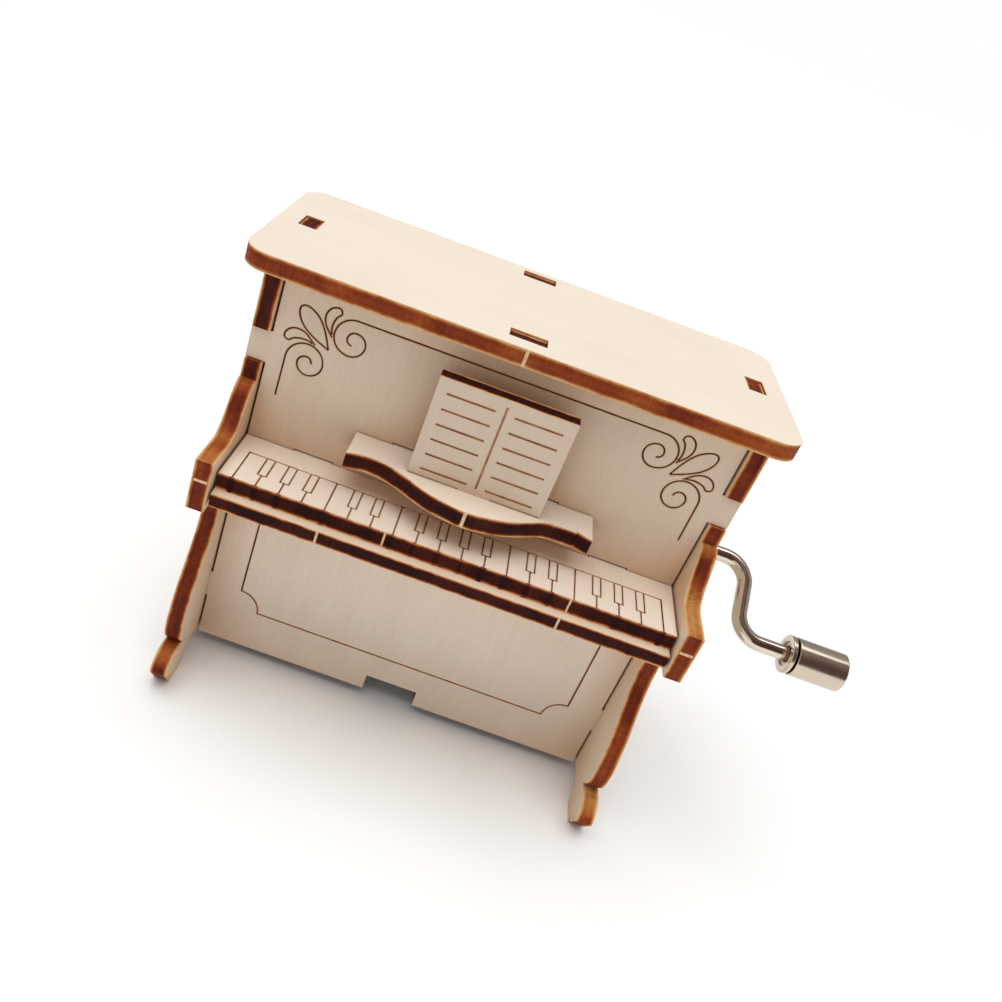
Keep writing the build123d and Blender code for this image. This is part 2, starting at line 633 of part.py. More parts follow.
# ---- movement: drum ----
def drum_sleeve():
    """Brass tube with the tune's pins in eighteen tracks."""
    sleeve = rod_z(DRUM_R, DRUM_X, DRUM_Y, DRUM_BOTTOM_Z, DRUM_TOP_Z)
    sleeve -= rod_z(DRUM_R - DRUM_WALL, DRUM_X, DRUM_Y, DRUM_BOTTOM_Z - 1, DRUM_TOP_Z + 1)
    pin_length = PIN_REACH + DRUM_WALL / 2
    middle_r = DRUM_R + PIN_REACH - pin_length / 2
    pins = []
    for note in range(NOTES):
        for pin in range(PINS_PER_NOTE):
            angle = PIN_ANGLE * (note + pin * NOTES)
            place = Pos(DRUM_X, DRUM_Y, note_z(note)) * Rot(0, 0, angle)
            pins.append(place * Pos(middle_r, 0, 0) * Rot(0, 90, 0) * Cylinder(PIN_R, pin_length))
    return sleeve + pins


def drum_caps():
    """Two discs that centre the sleeve on its arbor."""
    caps = []
    for low_z in (DRUM_BOTTOM_Z, DRUM_TOP_Z - DRUM_CAP):
        cap = rod_z(DRUM_R - DRUM_WALL, DRUM_X, DRUM_Y, low_z, low_z + DRUM_CAP)
        caps.append(cap - rod_z(ARBOR_R, DRUM_X, DRUM_Y, low_z - 1, low_z + DRUM_CAP + 1))
    return caps


def drum_arbor():
    arbor = rod_z(ARBOR_R, DRUM_X, DRUM_Y, ARBOR_BOTTOM_Z, ARBOR_TOP_Z)
    overhang = END_PLAY + BRACKET + JOURNAL_PROUD
    return arbor + rod_z(JOURNAL_R, DRUM_X, DRUM_Y, ARBOR_BOTTOM_Z - overhang, ARBOR_TOP_Z + overhang)


def tooth_section(root_r, tip_r, sunk):
    """Straight-flanked tooth pointing along +X, with its foot sunk into the body below."""
    slope = tan(radians(FLANK_ANGLE))
    tip = TOOTH_THICKNESS / 2 - ADDENDUM * slope
    root = TOOTH_THICKNESS / 2 + DEDENDUM * slope
    return make_face(
        Polyline(
            (root_r - sunk, -root), (root_r, -root), (tip_r, -tip), (tip_r, tip),
            (root_r, root), (root_r - sunk, root), close=True,
        )
    )


def worm_wheel():
    """Straight-cut wheel; a tooth gap faces the worm, so the thread sits in it at rest."""
    root_r = WHEEL_R - DEDENDUM
    tooth = tooth_section(root_r, WHEEL_R + ADDENDUM, 0.3)
    outline = Circle(root_r)
    step = 360 / WHEEL_TEETH
    for index in range(WHEEL_TEETH):
        outline += Rot(0, 0, 90 + step * (index + 0.5)) * tooth
    wheel = Pos(DRUM_X, DRUM_Y, WHEEL_Z) * extrude(outline, WHEEL_WIDTH)
    wheel += rod_z(HUB_R, DRUM_X, DRUM_Y, DRUM_TOP_Z + 1, WHEEL_Z)
    return wheel - rod_z(ARBOR_R, DRUM_X, DRUM_Y, DRUM_TOP_Z, WHEEL_Z + WHEEL_WIDTH + 1)


# ---- movement: worm and crank ----
def worm_thread():
    """One-start right-hand thread around Z, from the worm's root to its tip."""
    root_r = WORM_PITCH_R - DEDENDUM
    section = tooth_section(root_r, WORM_PITCH_R + ADDENDUM, 0.15)
    path = Helix(THREAD_PITCH, THREAD_PITCH * THREAD_TURNS, root_r)
    return sweep(Plane.XZ * section, path=path, is_frenet=True)


def worm():
    """Worm with its inner journal and the threaded socket for the crank."""
    root_r = WORM_PITCH_R - DEDENDUM
    body = rod_x(root_r, WORM_LEFT_X, WORM_RIGHT_X, CRANK_Y, CRANK_Z)
    start_x = DRUM_X - THREAD_PITCH * THREAD_TURNS / 2
    body += Pos(start_x, CRANK_Y, CRANK_Z) * Rot(0, 90, 0) * worm_thread()
    journal_end_x = CLIP_HIGH_X - RETAINER - CLIP_OVERHANG
    body += rod_x(ARBOR_R, journal_end_x, WORM_LEFT_X, CRANK_Y, CRANK_Z)
    return body - rod_x(SOCKET_R, WORM_RIGHT_X - SOCKET_DEPTH, WORM_RIGHT_X + 1, CRANK_Y, CRANK_Z)


def worm_clip():
    """Ring that keeps the worm from sliding out of its inner bearing."""
    return ring_x(ARBOR_R, RETAINER_R, CLIP_HIGH_X - RETAINER, CLIP_HIGH_X, CRANK_Y, CRANK_Z)


def knob_centre():
    """Y and Z of the knob's axis in the rest pose."""
    drop = radians(ARM_DROP_ANGLE)
    return CRANK_Y - ARM_LENGTH * cos(drop), CRANK_Z - ARM_LENGTH * sin(drop)


def crank_wire():
    """Bent steel wire from the worm's socket to the knob."""
    knob_y, knob_z = knob_centre()
    end_x = KNOB_END_X - KNOB_END_WALL - WIRE_END_GAP
    path = FilletPolyline(
        (WORM_RIGHT_X, CRANK_Y, CRANK_Z), (ARM_X, CRANK_Y, CRANK_Z),
        (ARM_X, knob_y, knob_z), (end_x, knob_y, knob_z), radius=WIRE_BEND_R,
    )
    section = Plane(origin=path @ 0, z_dir=path % 0) * Circle(WIRE_R)
    wire = sweep(section, path=path)
    return wire + rod_x(SOCKET_R, WORM_RIGHT_X - SOCKET_DEPTH, WORM_RIGHT_X + 1, CRANK_Y, CRANK_Z)


def knob_spigot_end():
    return KNOB_START_X + KNOB_FLANGE + KNOB_GROOVE + KNOB_SPIGOT


def knob_retainer():
    """Ring pressed on the wire inside the knob, which stops the knob from coming off."""
    knob_y, knob_z = knob_centre()
    low_x = knob_spigot_end() + END_PLAY
    return ring_x(WIRE_R, RETAINER_R, low_x, low_x + RETAINER, knob_y, knob_z)


def knob_bush():
    """Flanged bush at the knob's inner end, with the bore that turns on the wire."""
    knob_y, knob_z = knob_centre()
    flange_end = KNOB_START_X + KNOB_FLANGE
    bush = rod_x(KNOB_R, KNOB_START_X, flange_end, knob_y, knob_z)
    bush = chamfer(bush.edges().filter_by(GeomType.CIRCLE).sort_by(Axis.X)[0], KNOB_EDGE)
    bush += rod_x(KNOB_CAVITY_R, flange_end, knob_spigot_end(), knob_y, knob_z)
    bush -= rod_x(WIRE_R + RUNNING_GAP, KNOB_START_X - 1, knob_spigot_end() + 1, knob_y, knob_z)
    return bush - rod_x(RETAINER_R, KNOB_START_X - 1, KNOB_START_X + KNOB_RECESS, knob_y, knob_z)


def crank_knob():
    """Turned steel shell that the fingers hold."""
    knob_y, knob_z = knob_centre()
    start_x = KNOB_START_X + KNOB_FLANGE + KNOB_GROOVE
    shell = rod_x(KNOB_R, start_x, KNOB_END_X, knob_y, knob_z)
    shell = chamfer(shell.edges().filter_by(GeomType.CIRCLE).sort_by(Axis.X)[-1], KNOB_EDGE)
    return shell - rod_x(KNOB_CAVITY_R, start_x - 1, KNOB_END_X - KNOB_END_WALL, knob_y, knob_z)


SUBPARTS = [
    lid, left_side, right_side, front_panel, back_panel, keyboard_plate, key_bed, music_desk,
    music_book, movement_bed_plate, lower_drum_bracket, upper_drum_bracket, inner_crank_bearing,
    outer_crank_bearing, bracket_screws, movement_screws, comb, comb_screws, tuning_leads,
    drum_sleeve, drum_caps, drum_arbor, worm_wheel, worm, worm_clip, crank_wire, knob_retainer,
    knob_bush, crank_knob,
]


def main():
    os.makedirs("parts", exist_ok=True)
    to_origin = Pos(0, -STAND_CENTRE_Y, 0)
    for subpart in SUBPARTS:
        shape = subpart()
        pieces = shape if isinstance(shape, list) else shape.solids()
        placed = Compound(children=[to_origin * piece for piece in pieces])
        export_step(placed, f"parts/{subpart.__name__}.step")


main()
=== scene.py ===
import json
import math
from collections import namedtuple

import bmesh
import bpy
from mathutils import Matrix, Vector


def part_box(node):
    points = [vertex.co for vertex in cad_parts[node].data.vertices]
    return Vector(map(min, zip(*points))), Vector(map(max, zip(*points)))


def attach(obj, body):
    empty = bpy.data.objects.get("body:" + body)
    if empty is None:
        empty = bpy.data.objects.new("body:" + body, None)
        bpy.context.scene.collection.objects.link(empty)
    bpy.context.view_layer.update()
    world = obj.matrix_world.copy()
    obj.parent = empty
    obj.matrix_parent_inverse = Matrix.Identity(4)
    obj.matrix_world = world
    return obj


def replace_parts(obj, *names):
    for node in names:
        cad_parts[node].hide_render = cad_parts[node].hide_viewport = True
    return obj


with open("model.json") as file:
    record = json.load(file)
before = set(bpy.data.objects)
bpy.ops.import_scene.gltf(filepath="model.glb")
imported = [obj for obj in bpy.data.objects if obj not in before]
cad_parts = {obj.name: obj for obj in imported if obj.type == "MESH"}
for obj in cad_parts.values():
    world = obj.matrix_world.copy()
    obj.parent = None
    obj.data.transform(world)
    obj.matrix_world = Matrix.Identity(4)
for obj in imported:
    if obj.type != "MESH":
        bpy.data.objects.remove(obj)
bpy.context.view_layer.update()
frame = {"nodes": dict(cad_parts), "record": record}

# Piano music box: burnt plywood, engraved faces and a bright bent crank. Metres, in the
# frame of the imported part: +X to the player's right, +Y to the back, +Z up. The materials
# measure in millimetres.

MM = 0.001
NODES = frame["nodes"]
X, Y, Z = 0, 1, 2
SHARP_ANGLE = math.radians(35)


def linear(red, green, blue):
    """Linear colour, with alpha, of an sRGB colour given from 0 to 255."""
    def channel(value):
        share = value / 255
        return share / 12.92 if share <= 0.04045 else ((share + 0.055) / 1.055) ** 2.4
    return (channel(red), channel(green), channel(blue), 1.0)


# ---- shader nodes in short form ----
# the Mix node's sockets for colours
MIX_FACTOR, MIX_FIRST, MIX_SECOND, MIX_RESULT = 0, 6, 7, 2


class Graph:
    """A material's node tree, with a short call for each kind of node."""

    def __init__(self, name):
        self.material = bpy.data.materials.new(name)
        self.material.use_nodes = True
        self.tree = self.material.node_tree
        self.tree.nodes.clear()

    def node(self, kind, inputs=None, **settings):
        made = self.tree.nodes.new(kind)
        for key, value in settings.items():
            setattr(made, key, value)
        for key, value in (inputs or {}).items():
            self.feed(made.inputs[key], value)
        return made

    def feed(self, socket, value):
        if isinstance(value, bpy.types.NodeSocket):
            self.tree.links.new(value, socket)
        else:
            socket.default_value = value

    def math(self, operation, first, second=0.0, clamp=False):
        made = self.node("ShaderNodeMath", {0: first, 1: second}, operation=operation, use_clamp=clamp)
        return made.outputs[0]

    def plus(self, first, second):
        return self.math("ADD", first, second)

    def minus(self, first, second):
        return self.math("SUBTRACT", first, second)

    def times(self, first, second):
        return self.math("MULTIPLY", first, second)

    def swing(self, pattern, size):
        """A pattern around a half, turned into a swing around zero."""
        return self.times(self.minus(pattern, 0.5), size)

    def blend(self, factor, first, second, mode="MIX"):
        made = self.node("ShaderNodeMix", data_type="RGBA", blend_type=mode)
        self.feed(made.inputs[MIX_FACTOR], factor)
        self.feed(made.inputs[MIX_FIRST], first)
        self.feed(made.inputs[MIX_SECOND], second)
        return made.outputs[MIX_RESULT]

    def noise(self, vector, scale, detail=3.0, roughness=0.55, distortion=0.0):
        inputs = {"Vector": vector, "Scale": scale, "Detail": detail}
        inputs.update({"Roughness": roughness, "Distortion": distortion})
        return self.node("ShaderNodeTexNoise", inputs).outputs["Fac"]

    def span(self, value, low, high):
        """0 where value is at or below low, 1 at or above high, smooth between."""
        made = self.node("ShaderNodeMapRange", {"Value": value, "From Min": low, "From Max": high})
        made.interpolation_type = "SMOOTHSTEP"
        return made.outputs["Result"]

    def below(self, height, top, bottom):
        """0 where height is at or above top, 1 at or below bottom, smooth between."""
        return self.span(self.times(height, -1.0), -top, -bottom)

    def ramp(self, factor, stops):
        made = self.node("ShaderNodeValToRGB", {"Fac": factor})
        band = made.color_ramp
        while len(band.elements) < len(stops):
            band.elements.new(0.5)
        for element, (place, colour) in zip(band.elements, stops):
            element.position = place
            element.color = colour
        return made.outputs["Color"]

    def open_air(self, reach, samples):
        """1 where nothing stands within reach of the surface, less in corners and grooves."""
        return self.node("ShaderNodeAmbientOcclusion", {"Distance": reach}, samples=samples).outputs["AO"]

    def bump(self, height, strength, distance):
        inputs = {"Strength": strength, "Distance": distance, "Height": height}
        return self.node("ShaderNodeBump", inputs).outputs[0]

    def millimetres(self):
        """Place on the piece in millimetres, as one vector and as three numbers."""
        place = self.node("ShaderNodeTexCoord").outputs["Object"]
        scaled = self.node("ShaderNodeVectorMath", {0: place, "Scale": 1 / MM}, operation="SCALE").outputs[0]
        parts = self.node("ShaderNodeSeparateXYZ", {0: scaled}).outputs
        return scaled, [parts[X], parts[Y], parts[Z]]

    def vector(self, x, y, z):
        return self.node("ShaderNodeCombineXYZ", {0: x, 1: y, 2: z}).outputs[0]

    def surface(self, inputs):
        """The finished surface; inputs go to the Principled shader."""
        shader = self.node("ShaderNodeBsdfPrincipled", inputs)
        output = self.node("ShaderNodeOutputMaterial")
        self.tree.links.new(shader.outputs["BSDF"], output.inputs["Surface"])
        return self.material


# ---- plywood: colours ----
SCORCH = [
    # how far the laser burnt the wood, from hardly to charred
    (0.0, linear(214, 172, 120)),
    (0.14, linear(186, 130, 72)),
    (0.3, linear(160, 90, 40)),
    (0.45, linear(142, 64, 28)),
    (0.62, linear(112, 43, 22)),
    (0.8, linear(74, 26, 16)),
    (1.0, linear(40, 13, 10)),
]
STAIN = linear(196, 132, 66)
PORE = linear(150, 116, 84)
SHADE = (0.80, 0.765, 0.72, 1.0)      # what the veneer's darker fibres are multiplied by
# painted shade: what corners and overhung parts of standing sheets are multiplied by
CORNER_SHADE = (0.90, 0.67, 0.47, 1.0)
CHAR = (0.62, 0.56, 0.52, 1.0)
DARK_LINE = linear(112, 70, 46)
GOLDEN_LINE = linear(184, 122, 66)
KEY_LINE = linear(162, 126, 100)
BOOK_LINE = linear(200, 160, 128)

FRONT_TINT = (0.68, 0.55, 0.43, 1.0)
PAINTED_BOUNCE_TINT = (0.80, 0.69, 0.585, 1.0)   # painted light: the front panel behind the legs, paler where the floor's bounce light falls
PAINTED_FOOT_SHADE = (0.66, 0.555, 0.455, 1.0)  # painted shade: the front panel darker at its lower edge
SIDE_TINT = (0.78, 0.66, 0.53, 1.0)
BOOK_TINT = (0.64, 0.52, 0.41, 1.0)
TOP_TINT = (0.82, 0.72, 0.61, 1.0)
KEY_TINT = (0.80, 0.685, 0.575, 1.0)
BED_TINT = (0.78, 0.62, 0.46, 1.0)

# axis through the sheet, axis of the fibres, veneer, how streaky it is, how burnt the edges
# are (on the keyboard and key bed also painted shade), how much that varies from place to place, engraved
# lines
Sheet = namedtuple("Sheet", "across grain tint streaks burn patchy line")
PLYWOOD = {
    "lid": Sheet(Z, X, TOP_TINT, 0.10, 0.50, 0.6, DARK_LINE),
    "left_side": Sheet(X, Z, SIDE_TINT, 0.2, 0.70, 0.7, DARK_LINE),
    "right_side": Sheet(X, Z, SIDE_TINT, 0.2, 0.54, 0.7, DARK_LINE),
    "front_panel": Sheet(Y, Z, FRONT_TINT, 0.28, 0.80, 0.5, DARK_LINE),
    "back_panel": Sheet(Y, Z, FRONT_TINT, 0.28, 0.80, 0.5, DARK_LINE),
    # the keyboard and key bed edges are set darker partly as painted shade, for the shadow they sit in
    "keyboard_plate": Sheet(Z, Y, KEY_TINT, 0.12, 0.92, 0.5, KEY_LINE),
    "key_bed": Sheet(Z, X, BED_TINT, 0.2, 0.98, 0.4, KEY_LINE),
    "music_desk": Sheet(Z, X, KEY_TINT, 0.2, 0.95, 0.5, KEY_LINE),
    "music_book": Sheet(Y, Z, BOOK_TINT, 0.2, 1.0, 0.3, BOOK_LINE),
}

# ---- plywood: measures, in millimetres ----
ENGRAVE_DEPTH = 0.3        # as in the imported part
WHITE_KEY = 3.85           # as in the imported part
FIRST_KEY_X = -36.575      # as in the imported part
LID_BOTTOM_Z = 78.5
GOLDEN_BELOW = (16.0, 12.0)
PAINTED_BOUNCE_BELOW = (48.0, 26.0)
PAINTED_FOOT_SHADE_BELOW = (24.0, 8.0)
SMOKE_REACH = 0.40         # from a cut
CORNER_SHADE_REACH = 16.0          # how far the painted corner shade reaches, from a corner
CHEEK_BAND = (50.0, 58.0)  # the sides' front edges burn darker above this
KEY_MARK_BAND = (0.1, 0.75)
VENEER_BUMP = 0.05

# ---- plywood: patterns; scales are per millimetre, stretches run along the fibres ----
FIBRES = {"scale": 3.0, "detail": 4.0, "roughness": 0.6}
FIBRE_STRETCH = 0.07
FIBRE_SPAN = (0.38, 0.68)
FIBRE_SHARE = 0.8
BANDS = {"scale": 0.16, "detail": 3.0, "roughness": 0.5, "distortion": 0.6}
BAND_STRETCH = 0.12
BAND_SPAN = (0.42, 0.70)
BAND_SHARE = 0.3
BAND_BASE = 0.08
CLOUDS = {"scale": 0.035, "detail": 2.0}
CLOUD_SPAN = (0.40, 0.72)
CLOUD_SHARE = 0.16
PORES = {"scale": 2.4, "detail": 2.0}
PORE_STRETCH = 0.22
PORE_THINNESS = 2.2
PORE_SPAN = (0.68, 0.76)
PORE_SHARE = 0.4

SMOKE = {"scale": 0.45, "detail": 2.0}
SMOKE_SPAN = (0.30, 0.70)
SMOKE_SHARE = 0.5
SMOKE_BASE = 0.2
CUT_TURN = (0.0, 0.28)     # how far the rounded normal has turned from the flat one
CORNER_SHADE_SPAN = (0.15, 0.85)
CORNER_SHADE_SHARE = 0.85
FACING_UP = (0.3, 0.9)
LEVEL_UNSHADED = 0.85         # share of the painted shade that faces looking up don't get
SOFT_SAMPLES = 6

CHARRING = {"scale": 0.3}
CHARRING_SPAN = (0.35, 0.7)
GOLDEN_SHARE = 0.8

EDGE_DRIFT = {"scale": 0.35, "detail": 3.0}
DRIFT_SIZE = 0.22
CORE_SPAN = (0.0, 0.24)    # share of the thickness over which an edge darkens
SCAN_LINES = {"scale": 3.2, "detail": 3.0, "roughness": 0.55}
SCAN_STRETCH = 0.3         # across the sheet
SCAN_HEAT = 0.30
PATCHES = {"scale": 0.16, "detail": 2.0, "roughness": 0.5}
PLIES = {"scale": 1.0, "detail": 1.0}
PLY_STRETCH = 1.6
PLY_HEAT = 0.25
LEVEL_COOLER = 0.34
CHEEK_HEAT = 0.14
MARKED_KEYS = {"scale": 0.31, "detail": 1.0}
MARKED_SPAN = (0.36, 0.62)
MARK_HEAT = 0.35
MARK_CORE = 0.75

EDGE_TILT = 0.5            # a face is a cut edge when it looks along the sheet
FACE_ROUGH = 0.6
FIBRE_ROUGH = 0.12
EDGE_SMOOTHER = 0.10
WOOD_SHINE = 0.08
BUMP_STRENGTH = 0.3


def plywood(piece):
    """Laser-cut birch plywood: pale veneer on the faces, burnt plies on the edges."""
    sheet = PLYWOOD[piece]
    graph = Graph("ply_" + piece)
    low, high = (corner[sheet.across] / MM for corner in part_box(piece))
    place, axes = graph.millimetres()
    depth = graph.minus(axes[sheet.across], low)
    to_face = graph.math("MINIMUM", depth, graph.minus(high, axes[sheet.across]))
    normal = graph.node("ShaderNodeTexCoord").outputs["Normal"]
    facing = graph.node("ShaderNodeSeparateXYZ", {0: normal}).outputs
    on_edge = graph.math("LESS_THAN", graph.math("ABSOLUTE", facing[sheet.across]), EDGE_TILT)
    sunk = graph.math("GREATER_THAN", to_face, ENGRAVE_DEPTH / 2)
    in_groove = graph.times(sunk, graph.minus(1.0, on_edge))

    veneer, fibres = veneer_colour(graph, place, axes, sheet)
    veneer = smoke_stain(graph, place, veneer)
    # painted shade in corners and under overhangs
    veneer = painted_corner_shade(graph, veneer, facing)
    plies, scan_lines = burnt_and_shaded_edge(graph, place, axes, facing, piece, depth, high - low)
    colour = graph.blend(on_edge, veneer, plies)
    colour = graph.blend(in_groove, colour, engraved_line(graph, place, axes, sheet.line))

    rough = graph.plus(FACE_ROUGH, graph.times(fibres, FIBRE_ROUGH))
    rough = graph.minus(rough, graph.times(on_edge, EDGE_SMOOTHER))
    fibre_height = graph.vector(fibres, fibres, fibres)
    scan_height = graph.vector(scan_lines, scan_lines, scan_lines)
    relief = graph.bump(graph.blend(on_edge, fibre_height, scan_height), BUMP_STRENGTH, VENEER_BUMP * MM)
    return graph.surface({
        "Base Color": colour, "Roughness": rough, "Normal": relief, "Specular IOR Level": WOOD_SHINE,
    })


def veneer_colour(graph, place, axes, sheet):
    """Birch veneer: fine fibres, broad bands, faint clouds and short pores. Also the fibres alone."""
    side = X + Y + Z - sheet.across - sheet.grain
    along = axes[sheet.grain]
    fibre_place = graph.vector(graph.times(along, FIBRE_STRETCH), axes[side], axes[sheet.across])
    band_place = graph.vector(graph.times(along, BAND_STRETCH), axes[side], 0.0)
    pore_along = graph.times(along, PORE_STRETCH)
    pore_place = graph.vector(pore_along, graph.times(axes[side], PORE_THINNESS), axes[sheet.across])
    fibres = graph.noise(fibre_place, **FIBRES)

    veneer = sheet.tint
    if sheet.across == Y:
        # painted light and shade on standing sheets: paler low down where the floor's bounce light falls,
        # darker again at the lower edge
        veneer = graph.blend(graph.below(axes[Z], *PAINTED_BOUNCE_BELOW), veneer, PAINTED_BOUNCE_TINT)
        veneer = graph.blend(graph.below(axes[Z], *PAINTED_FOOT_SHADE_BELOW), veneer, PAINTED_FOOT_SHADE)
    shade = graph.blend(1.0, veneer, SHADE, "MULTIPLY")
    layers = [
        (fibres, FIBRE_SPAN, FIBRE_SHARE * sheet.streaks, shade),
        (graph.noise(band_place, **BANDS), BAND_SPAN, BAND_SHARE * sheet.streaks + BAND_BASE, shade),
        (graph.noise(place, **CLOUDS), CLOUD_SPAN, CLOUD_SHARE, shade),
        (graph.noise(pore_place, **PORES), PORE_SPAN, PORE_SHARE * sheet.streaks, PORE),
    ]
    for pattern, span, strength, colour in layers:
        veneer = graph.blend(graph.times(graph.span(pattern, *span), strength), veneer, colour)
    return veneer, fibres


def smoke_stain(graph, place, veneer):
    """Golden smoke along the cuts, in patches."""
    rounded = graph.node("ShaderNodeBevel", {"Radius": SMOKE_REACH * MM}, samples=SOFT_SAMPLES).outputs[0]
    flat = graph.node("ShaderNodeNewGeometry").outputs["True Normal"]
    agree = graph.node("ShaderNodeVectorMath", {0: rounded, 1: flat}, operation="DOT_PRODUCT")
    near_cut = graph.span(graph.minus(1.0, agree.outputs["Value"]), *CUT_TURN)
    patchy = graph.span(graph.noise(place, **SMOKE), *SMOKE_SPAN)
    strength = graph.plus(graph.times(patchy, SMOKE_SHARE), SMOKE_BASE)
    return graph.blend(graph.times(near_cut, strength), veneer, STAIN)


def painted_corner_shade(graph, veneer, facing):
    """Painted shade: a warm brown darkening on standing sheets where they meet others or stand under an
    overhang, from ambient occlusion.
    """
    shade_mask = graph.minus(1.0, graph.span(graph.open_air(CORNER_SHADE_REACH * MM, SOFT_SAMPLES), *CORNER_SHADE_SPAN))
    standing = graph.minus(1.0, graph.times(graph.span(facing[Z], *FACING_UP), LEVEL_UNSHADED))
    strength = graph.times(graph.times(shade_mask, standing), CORNER_SHADE_SHARE)
    return graph.blend(strength, veneer, graph.blend(1.0, veneer, CORNER_SHADE, "MULTIPLY"))


def engraved_line(graph, place, axes, line):
    """Engraved line, charred in places and golden low down."""
    charred = graph.blend(1.0, line, CHAR, "MULTIPLY")
    groove = graph.blend(graph.span(graph.noise(place, **CHARRING), *CHARRING_SPAN), line, charred)
    return graph.blend(graph.times(graph.below(axes[Z], *GOLDEN_BELOW), GOLDEN_SHARE), groove, GOLDEN_LINE)


def burnt_and_shaded_edge(graph, place, axes, facing, piece, depth, thickness):
    """Cut edge: golden at both faces, darker in the core, in drifting patches, and darker still on the
    keyboard and key bed, partly as painted shade. Also its scan lines.
    """
    sheet = PLYWOOD[piece]
    drift = graph.swing(graph.noise(place, **EDGE_DRIFT), DRIFT_SIZE)
    share = graph.plus(graph.math("DIVIDE", depth, thickness), drift)
    margin = graph.minus(0.5, graph.math("ABSOLUTE", graph.minus(share, 0.5)))
    core = graph.span(margin, *CORE_SPAN)
    squeezed = list(axes)
    squeezed[sheet.across] = graph.times(axes[sheet.across], SCAN_STRETCH)
    scan_lines = graph.noise(graph.vector(*squeezed), **SCAN_LINES)
    plies = graph.noise(graph.vector(graph.times(depth, PLY_STRETCH), sheet.burn, 0.0), **PLIES)

    # the sheet's level is partly painted shade on the keyboard and key bed
    heat_and_shade = graph.plus(sheet.burn, graph.swing(graph.noise(place, **PATCHES), sheet.patchy))
    heat_and_shade = graph.plus(heat_and_shade, graph.swing(scan_lines, SCAN_HEAT))
    heat_and_shade = graph.plus(heat_and_shade, graph.swing(plies, PLY_HEAT))
    if sheet.across == X:
        below_lid = graph.math("LESS_THAN", axes[Z], LID_BOTTOM_Z)
        upward = graph.times(graph.span(facing[Z], *FACING_UP), below_lid)
        heat_and_shade = graph.minus(heat_and_shade, graph.times(upward, LEVEL_COOLER))
        heat_and_shade = graph.plus(heat_and_shade, graph.times(graph.span(axes[Z], *CHEEK_BAND), CHEEK_HEAT))
    if piece == "keyboard_plate":
        mark = key_marks(graph, axes[X])
        heat_and_shade = graph.plus(heat_and_shade, graph.times(mark, MARK_HEAT))
        core = graph.math("MAXIMUM", core, graph.times(mark, MARK_CORE))
    return graph.ramp(graph.math("MULTIPLY", heat_and_shade, core, clamp=True), SCORCH), scan_lines


def key_marks(graph, x):
    """Burns on the front edge where the laser ran out between some of the keys."""
    from_line = graph.math("PINGPONG", graph.minus(x, FIRST_KEY_X), WHITE_KEY / 2)
    marked = graph.span(graph.noise(graph.vector(x, 0.0, 0.0), **MARKED_KEYS), *MARKED_SPAN)
    return graph.times(graph.minus(1.0, graph.span(from_line, *KEY_MARK_BAND)), marked)


# ---- metals ----
# painted shade: the dark colour put into the knob's recesses and hollows
RECESS_SHADE = linear(38, 24, 18)
RECESS_SHADE_REACH = 1.0          # millimetres
RECESS_SHADE_SPAN = (0.4, 0.85)
RECESS_SHADE_SAMPLES = 8
SCUFFS = {"scale": 3.0, "detail": 4.0, "roughness": 0.65}
LATHE_MARKS = {"scale": 9.0, "detail": 3.0, "roughness": 0.7}
WEAR = {"scale": 0.6, "detail": 3.0}
MARK_SHARE = 0.25
MARK_DARKER = 0.72
METAL_BUMP = 0.02          # millimetres
METAL_BUMP_STRENGTH = 0.12

ZINC = linear(168, 168, 170)
STEEL = linear(190, 190, 194)
BRASS = linear(214, 172, 92)
LEAD = linear(96, 98, 104)
NICKEL = linear(224, 212, 196)
TURNED_NICKEL = linear(212, 198, 180)


def metal(name, colour, rough, wear, turned_about=None, shade_recesses=False):
    """Bare metal with fine wear; turned_about gives an axis that lathe marks run round; the last flag darkens
    hollows with painted shade.
    """
    graph = Graph(name)
    place, axes = graph.millimetres()
    if turned_about is None:
        marks = graph.noise(place, **SCUFFS)
    else:
        marks = graph.noise(graph.vector(axes[turned_about], 0.0, 0.0), **LATHE_MARKS)
    darker = tuple(channel * MARK_DARKER for channel in colour[:3]) + (1.0,)
    tone = graph.blend(graph.times(marks, MARK_SHARE), colour, darker)
    # painted shade: darkens hollows and recesses by ambient occlusion
    if shade_recesses:
        unshaded = graph.span(graph.open_air(RECESS_SHADE_REACH * MM, RECESS_SHADE_SAMPLES), *RECESS_SHADE_SPAN)
        tone = graph.blend(unshaded, RECESS_SHADE, tone)
    worn = graph.plus(rough, graph.swing(graph.noise(place, **WEAR), wear))
    relief = graph.bump(marks, METAL_BUMP_STRENGTH, METAL_BUMP * MM)
    return graph.surface({"Base Color": tone, "Metallic": 1.0, "Roughness": worn, "Normal": relief})


def paint_nodes():
    """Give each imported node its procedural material."""
    for name in PLYWOOD:
        set_material(NODES[name], plywood(name))
    castings = [
        "movement_bed_plate", "lower_drum_bracket", "upper_drum_bracket", "inner_crank_bearing",
        "outer_crank_bearing",
    ]
    steel_pieces = [
        "comb", "bracket_screws", "movement_screws", "comb_screws", "drum_arbor", "worm_clip",
        "knob_retainer",
    ]
    finishes = [
        (metal("cast_zinc", ZINC, rough=0.42, wear=0.25), castings),
        (metal("spring_steel", STEEL, rough=0.28, wear=0.2), steel_pieces),
        (metal("brass", BRASS, rough=0.26, wear=0.2), ["drum_caps", "worm_wheel", "worm"]),
        (metal("turned_brass", BRASS, rough=0.24, wear=0.2, turned_about=Z), ["drum_sleeve"]),
        (metal("lead", LEAD, rough=0.6, wear=0.2), ["tuning_leads"]),
    ]
    for material, names in finishes:
        for name in names:
            set_material(NODES[name], material)


def set_material(item, material):
    item.data.materials.clear()
    item.data.materials.append(material)


